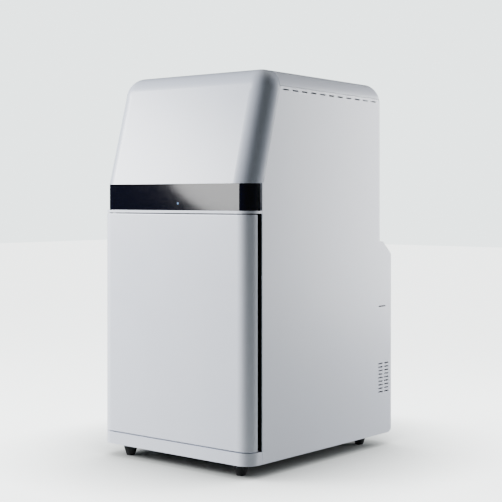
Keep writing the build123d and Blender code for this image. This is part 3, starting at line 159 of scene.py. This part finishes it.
moulded_black, shader, place = finish("moulded black ABS", "#161718", Roughness=0.5)
grain = node(moulded_black, "ShaderNodeTexVoronoi", {"Scale": 1 / 0.0009}, {"Vector": place})
relief(moulded_black, shader, grain.outputs["Distance"], 0.00005)
tone = node(moulded_black, "ShaderNodeTexNoise", {"Scale": 1 / 0.05}, {"Vector": place})
tint(moulded_black, shader, tone.outputs["Fac"], "#131415", "#1a1b1d")
paint(
    moulded_black, "band_carrier", "fan_frames", "fan_rotor_left", "fan_rotor_right", "power_inlet",
    "power_switch", "door_magnets",
)

# Status light.
# A pale blue light pipe behind the pane, moulded acrylic with a dim lamp at its foot.

light_pipe, shader, place = finish("light pipe, pale blue", "#9cc4ee", Roughness=0.2, IOR=1.49)
shader.inputs["Emission Color"].default_value = linear("#a8cdf4")
shader.inputs["Emission Strength"].default_value = 1.2
haze = node(light_pipe, "ShaderNodeTexNoise", {"Scale": 1 / 0.002}, {"Vector": place})
tint(light_pipe, shader, haze.outputs["Fac"], "#8fbbea", "#a9cff3")
paint(light_pipe, "status_light")

# Feet.
# Tapered rubber pads moulded round a steel stud, matt black with a bloom of dust.

foot_rubber, shader, place = finish("moulded rubber, black", "#17181a", Roughness=0.8)
dust = node(foot_rubber, "ShaderNodeTexNoise", {"Scale": 1 / 0.015, "Detail": 6.0}, {"Vector": place})
tint(foot_rubber, shader, dust.outputs["Fac"], "#101112", "#24262a")
relief(foot_rubber, shader, dust.outputs["Fac"], 0.0002, 0.4)
paint(foot_rubber, "feet")

# Base tray, posts and equipment deck.
# Folded sheet and square tube in a grey powder coat, coarser than the outside panels'.

frame_coat, shader, place = finish("powder coat, frame grey", "#73767b", Roughness=0.55)
peel = node(frame_coat, "ShaderNodeTexNoise", {"Scale": 1 / 0.0015, "Detail": 2.0}, {"Vector": place})
patch = node(frame_coat, "ShaderNodeTexNoise", {"Scale": 1 / 0.08, "Detail": 3.0}, {"Vector": place})
tint(frame_coat, shader, patch.outputs["Fac"], "#6c6f74", "#7b7e83")
relief(frame_coat, shader, peel.outputs["Fac"], 0.00008)
paint(frame_coat, "base_tray", "frame_posts", "equipment_deck")

# Frame rails and power supply.
# Bare aluminium: extruded bars with fine die lines along them, and a folded case of drawn sheet.

mill_aluminium, shader, place = finish("mill aluminium", "#c9cbce", Metallic=1.0, Roughness=0.38)
stretch = node(mill_aluminium, "ShaderNodeMapping", {"Scale": (40.0, 40.0, 1.0)}, {"Vector": place})
die_lines = node(
    mill_aluminium, "ShaderNodeTexNoise",
    {"Scale": 25.0, "Detail": 4.0}, {"Vector": stretch.outputs["Vector"]},
)
tint(mill_aluminium, shader, die_lines.outputs["Fac"], "#bdbfc2", "#d2d4d6")
relief(mill_aluminium, shader, die_lines.outputs["Fac"], 0.00003)
paint(mill_aluminium, "frame_rails", "power_supply")

# Dark chamber.
# Steel plates in a flat black paint that swallows light, with the dry texture of its filler.

dead_black, shader, place = finish("flat black paint", "#0b0b0c", Roughness=0.92)
shader.inputs["Specular IOR Level"].default_value = 0.2
filler = node(dead_black, "ShaderNodeTexNoise", {"Scale": 1 / 0.0012, "Detail": 5.0}, {"Vector": place})
scuff = node(dead_black, "ShaderNodeTexNoise", {"Scale": 1 / 0.06, "Detail": 4.0}, {"Vector": place})
tint(dead_black, shader, scuff.outputs["Fac"], "#09090a", "#111113")
relief(dead_black, shader, filler.outputs["Fac"], 0.0001)
paint(
    dead_black, "chamber_left_wall", "chamber_right_wall", "chamber_back_wall", "chamber_floor",
    "chamber_ceiling", "chamber_front_frame", "door_liner",
)

# Door seal.
# Closed-cell foam strip glued round the mouth's edge: tiny cut cells, no shine.

foam, shader, place = finish("closed-cell foam", "#141415", Roughness=0.95)
cells = node(foam, "ShaderNodeTexVoronoi", {"Scale": 1 / 0.0008}, {"Vector": place})
relief(foam, shader, cells.outputs["Distance"], 0.0002)
tint(foam, shader, cells.outputs["Distance"], "#0e0e0f", "#1b1b1d")
paint(foam, "door_gasket")

# Hinges, strikes, screws and sockets.
# Turned and pressed steel with a bright zinc plate, its blotchy passivation just visible.

zinc, shader, place = finish("zinc-plated steel", "#bfc3c7", Metallic=1.0, Roughness=0.34)
bloom = node(zinc, "ShaderNodeTexNoise", {"Scale": 1 / 0.012, "Detail": 4.0}, {"Vector": place})
tint(zinc, shader, bloom.outputs["Fac"], "#aeb2b4", "#cbcdd2")
pits = node(zinc, "ShaderNodeTexNoise", {"Scale": 1 / 0.0008, "Detail": 2.0}, {"Vector": place})
relief(zinc, shader, pits.outputs["Fac"], 0.00002)
paint(zinc, "hinge_brackets", "hinge_blocks", "door_strikes", "cover_screws", "data_ports")

# Guide rods, screw, bushings and nut.
# Hardened steel, ground to size: bright, with the faint rings that the wheel leaves. The nut is
# turned from brass and pressed into the carriage.

ground_steel, shader, place = finish("ground steel", "#c8cacc", Metallic=1.0, Roughness=0.2)
squeeze = node(ground_steel, "ShaderNodeMapping", {"Scale": (1.0, 1.0, 30.0)}, {"Vector": place})
rings = node(
    ground_steel, "ShaderNodeTexNoise",
    {"Scale": 60.0, "Detail": 3.0}, {"Vector": squeeze.outputs["Vector"]},
)
tint(ground_steel, shader, rings.outputs["Fac"], "#bcbec0", "#d3d5d7")
relief(ground_steel, shader, rings.outputs["Fac"], 0.00001)
paint(ground_steel, "guide_rods", "linear_bushings", "lead_screw")

turned_brass, shader, place = finish("turned brass", "#b99a58", Metallic=1.0, Roughness=0.28)
tool_marks = node(turned_brass, "ShaderNodeTexNoise", {"Scale": 1 / 0.001, "Detail": 2.0}, {"Vector": place})
tint(turned_brass, shader, tool_marks.outputs["Fac"], "#a98a4a", "#c6a765")
relief(turned_brass, shader, tool_marks.outputs["Fac"], 0.00002)
paint(turned_brass, "lead_nut")

# Lift blocks, stage and optics.
# Milled aluminium, bead blasted and anodised black so that it gives back no glare.

black_anodised, shader, place = finish("anodised aluminium, black", "#1b1c1f", Metallic=0.6, Roughness=0.55)
blast = node(black_anodised, "ShaderNodeTexNoise", {"Scale": 1 / 0.0006, "Detail": 2.0}, {"Vector": place})
dye = node(black_anodised, "ShaderNodeTexNoise", {"Scale": 1 / 0.04, "Detail": 2.0}, {"Vector": place})
tint(black_anodised, shader, dye.outputs["Fac"], "#17181b", "#202226")
relief(black_anodised, shader, blast.outputs["Fac"], 0.00003)
paint(
    black_anodised, "lift_end_blocks", "stage_plate", "stage_carriage", "camera_stand", "camera_housing",
    "filter_housing", "filter_lid", "filter_wheel", "lens_barrel", "focus_ring", "lamp_bars",
)

# Motors.
# Steel cases dipped in black enamel.

motor_enamel, shader, place = finish("black enamel", "#121315", Roughness=0.3)
runs = node(motor_enamel, "ShaderNodeTexNoise", {"Scale": 1 / 0.01, "Detail": 2.0}, {"Vector": place})
tint(motor_enamel, shader, runs.outputs["Fac"], "#0e0f11", "#191b1e")
relief(motor_enamel, shader, runs.outputs["Fac"], 0.0001, 0.3)
paint(motor_enamel, "stage_motor", "filter_motor")

# Stage mat.
# Matt black rubber sheet with a fine crosswise rib, chosen because it doesn't glow.

mat_rubber, shader, place = finish("ribbed rubber sheet, black", "#151516", Roughness=0.85)
ribs = node(mat_rubber, "ShaderNodeTexWave", {"bands_direction": "X", "Scale": 1 / 0.006}, {"Vector": place})
tint(mat_rubber, shader, ribs.outputs["Fac"], "#0f0f10", "#1c1c1e")
relief(mat_rubber, shader, ribs.outputs["Fac"], 0.0003)
paint(mat_rubber, "stage_mat")

# Lens and filters.
# Coated glass: the lens with a faint blue bloom, the filters deep green interference glass.

lens_glass, shader, place = finish("coated lens glass", "#b8c8e0", Roughness=0.02, IOR=1.52)
shader.inputs["Transmission Weight"].default_value = 0.9
bloom = node(lens_glass, "ShaderNodeTexNoise", {"Scale": 1 / 0.03}, {"Vector": place})
tint(lens_glass, shader, bloom.outputs["Fac"], "#a9bede", "#c6cfe6")
paint(lens_glass, "lens_glass")

filter_glass, shader, place = finish("interference filter glass", "#3f7a55", Roughness=0.03, IOR=1.52)
shader.inputs["Transmission Weight"].default_value = 0.6
layers = node(filter_glass, "ShaderNodeTexNoise", {"Scale": 1 / 0.05}, {"Vector": place})
tint(filter_glass, shader, layers.outputs["Fac"], "#2f6a4e", "#5a8a54")
paint(filter_glass, "wheel_filters")

# Lamp diffusers.
# Opal acrylic strips with a satin face, dark while the lamps are off.

opal, shader, place = finish("opal acrylic", "#e9e8e2", Roughness=0.5, IOR=1.49)
milk = node(opal, "ShaderNodeTexNoise", {"Scale": 1 / 0.02, "Detail": 2.0}, {"Vector": place})
tint(opal, shader, milk.outputs["Fac"], "#e3e2dc", "#efeeea")
relief(opal, shader, milk.outputs["Fac"], 0.0001)
paint(opal, "lamp_diffusers")

# Controller board.
# Glass-fibre laminate under green solder mask, with the weave just showing through.

laminate, shader, place = finish("circuit laminate, green", "#1d5a3a", Roughness=0.35)
weave = node(laminate, "ShaderNodeTexChecker", {"Scale": 1 / 0.0009}, {"Vector": place})
tint(laminate, shader, weave.outputs["Fac"], "#1a5436", "#21613f")
relief(laminate, shader, weave.outputs["Fac"], 0.00003)
paint(laminate, "controller_board")

# Floor and studio.
# A plain pale floor that is brighter to the lens than to the cabinet. Close to the cabinet it carries a
# painted contact shadow, made from occlusion. The soft boxes stand far left, at the right rear and overhead,
# so the rounded corner stays dark. The elliptical one is there for its reflection in the window band.

floor_paper, shader, place = finish("backdrop paper, pale grey", "#a3a6a5", Roughness=0.9)
fibre = node(floor_paper, "ShaderNodeTexNoise", {"Scale": 1 / 0.002, "Detail": 4.0}, {"Vector": place})
relief(floor_paper, shader, fibre.outputs["Fac"], 0.0001)
seen = node(floor_paper, "ShaderNodeLightPath")
shadow_reach = 0.45
shadow_depth = 3.0
floor_level = 3.9
# Painted contact shadow: occlusion near the cabinet dims the floor's emission to the lens.
painted_shadow_occlusion = node(floor_paper, "ShaderNodeAmbientOcclusion", {"Distance": shadow_reach, "samples": 16})
painted_contact_shadow = node(
    floor_paper, "ShaderNodeMath", {"operation": "POWER", 1: shadow_depth}, {0: painted_shadow_occlusion.outputs["AO"]},
)
lens_glow_with_painted_shadow = node(
    floor_paper, "ShaderNodeMath", {"operation": "MULTIPLY"},
    {0: painted_contact_shadow.outputs["Value"], 1: seen.outputs["Is Camera Ray"]},
)
wash = node(
    floor_paper, "ShaderNodeMath", {"operation": "MULTIPLY", 1: floor_level}, {0: lens_glow_with_painted_shadow.outputs["Value"]},
)
shader.inputs["Emission Color"].default_value = linear("#f3f7f6")
floor_paper.node_tree.links.new(wash.outputs["Value"], shader.inputs["Emission Strength"])
floor_mesh = bpy.data.meshes.new("studio_floor")
reach = 14.0
corners = [(-reach, -reach, 0), (reach, -reach, 0), (reach, reach, 0), (-reach, reach, 0)]
floor_mesh.from_pydata(corners, [], [(0, 1, 2, 3)])
floor_mesh.materials.append(floor_paper)
studio_floor = bpy.data.objects.new("studio_floor", floor_mesh)
bpy.context.collection.objects.link(studio_floor)


def soft_box(name, place, target, width, height, power, shape="RECTANGLE"):
    """Hangs one soft box and turns it to its target."""
    lamp = bpy.data.lights.new(name, "AREA")
    lamp.shape, lamp.size, lamp.size_y, lamp.energy = shape, width, height, power
    box = bpy.data.objects.new(name, lamp)
    box.location = place
    box.rotation_euler = (Vector(target) - Vector(place)).to_track_quat("-Z", "Y").to_euler()
    bpy.context.collection.objects.link(box)
    return box


soft_box("key_left", (-2.25, -1.95, 1.65), (-0.1, -0.3, 0.45), 1.4, 1.1, 260)
soft_box("band_sweep", (-1.76, -2.7, 1.07), (0.1, -0.34, 0.75), 0.86, 0.86, 17, "ELLIPSE")
soft_box("side_right", (1.15, 1.75, 0.95), (0.28, 0.1, 0.55), 0.9, 1.6, 72)
soft_box("overhead", (0, 0.5, 3.2), (0, 0, 0.8), 2.4, 2.4, 18)
studio = bpy.data.worlds.new("studio")
studio.use_nodes = True
backdrop = studio.node_tree.nodes["Background"]
backdrop.inputs["Color"].default_value = linear("#e6efef")
seen = node(studio, "ShaderNodeLightPath")
fill_level = 0.07
backdrop_level = 3.5
level = node(
    studio, "ShaderNodeMapRange",
    {"To Min": fill_level, "To Max": backdrop_level}, {"Value": seen.outputs["Is Camera Ray"]},
)
studio.node_tree.links.new(level.outputs["Result"], backdrop.inputs["Strength"])
bpy.context.scene.world = studio

# Camera: level, at the height of the window band, turned 40 degrees round the cabinet.
camera = bpy.data.objects.new("camera", bpy.data.cameras.new("camera"))
camera.data.lens = 89.1
camera.data.sensor_width = 36
camera.data.shift_y = -0.105
camera.location = (2.375, -2.842, 0.745)
camera.rotation_euler = (math.radians(90), 0, math.radians(39.9))
bpy.context.collection.objects.link(camera)
bpy.context.scene.camera = camera
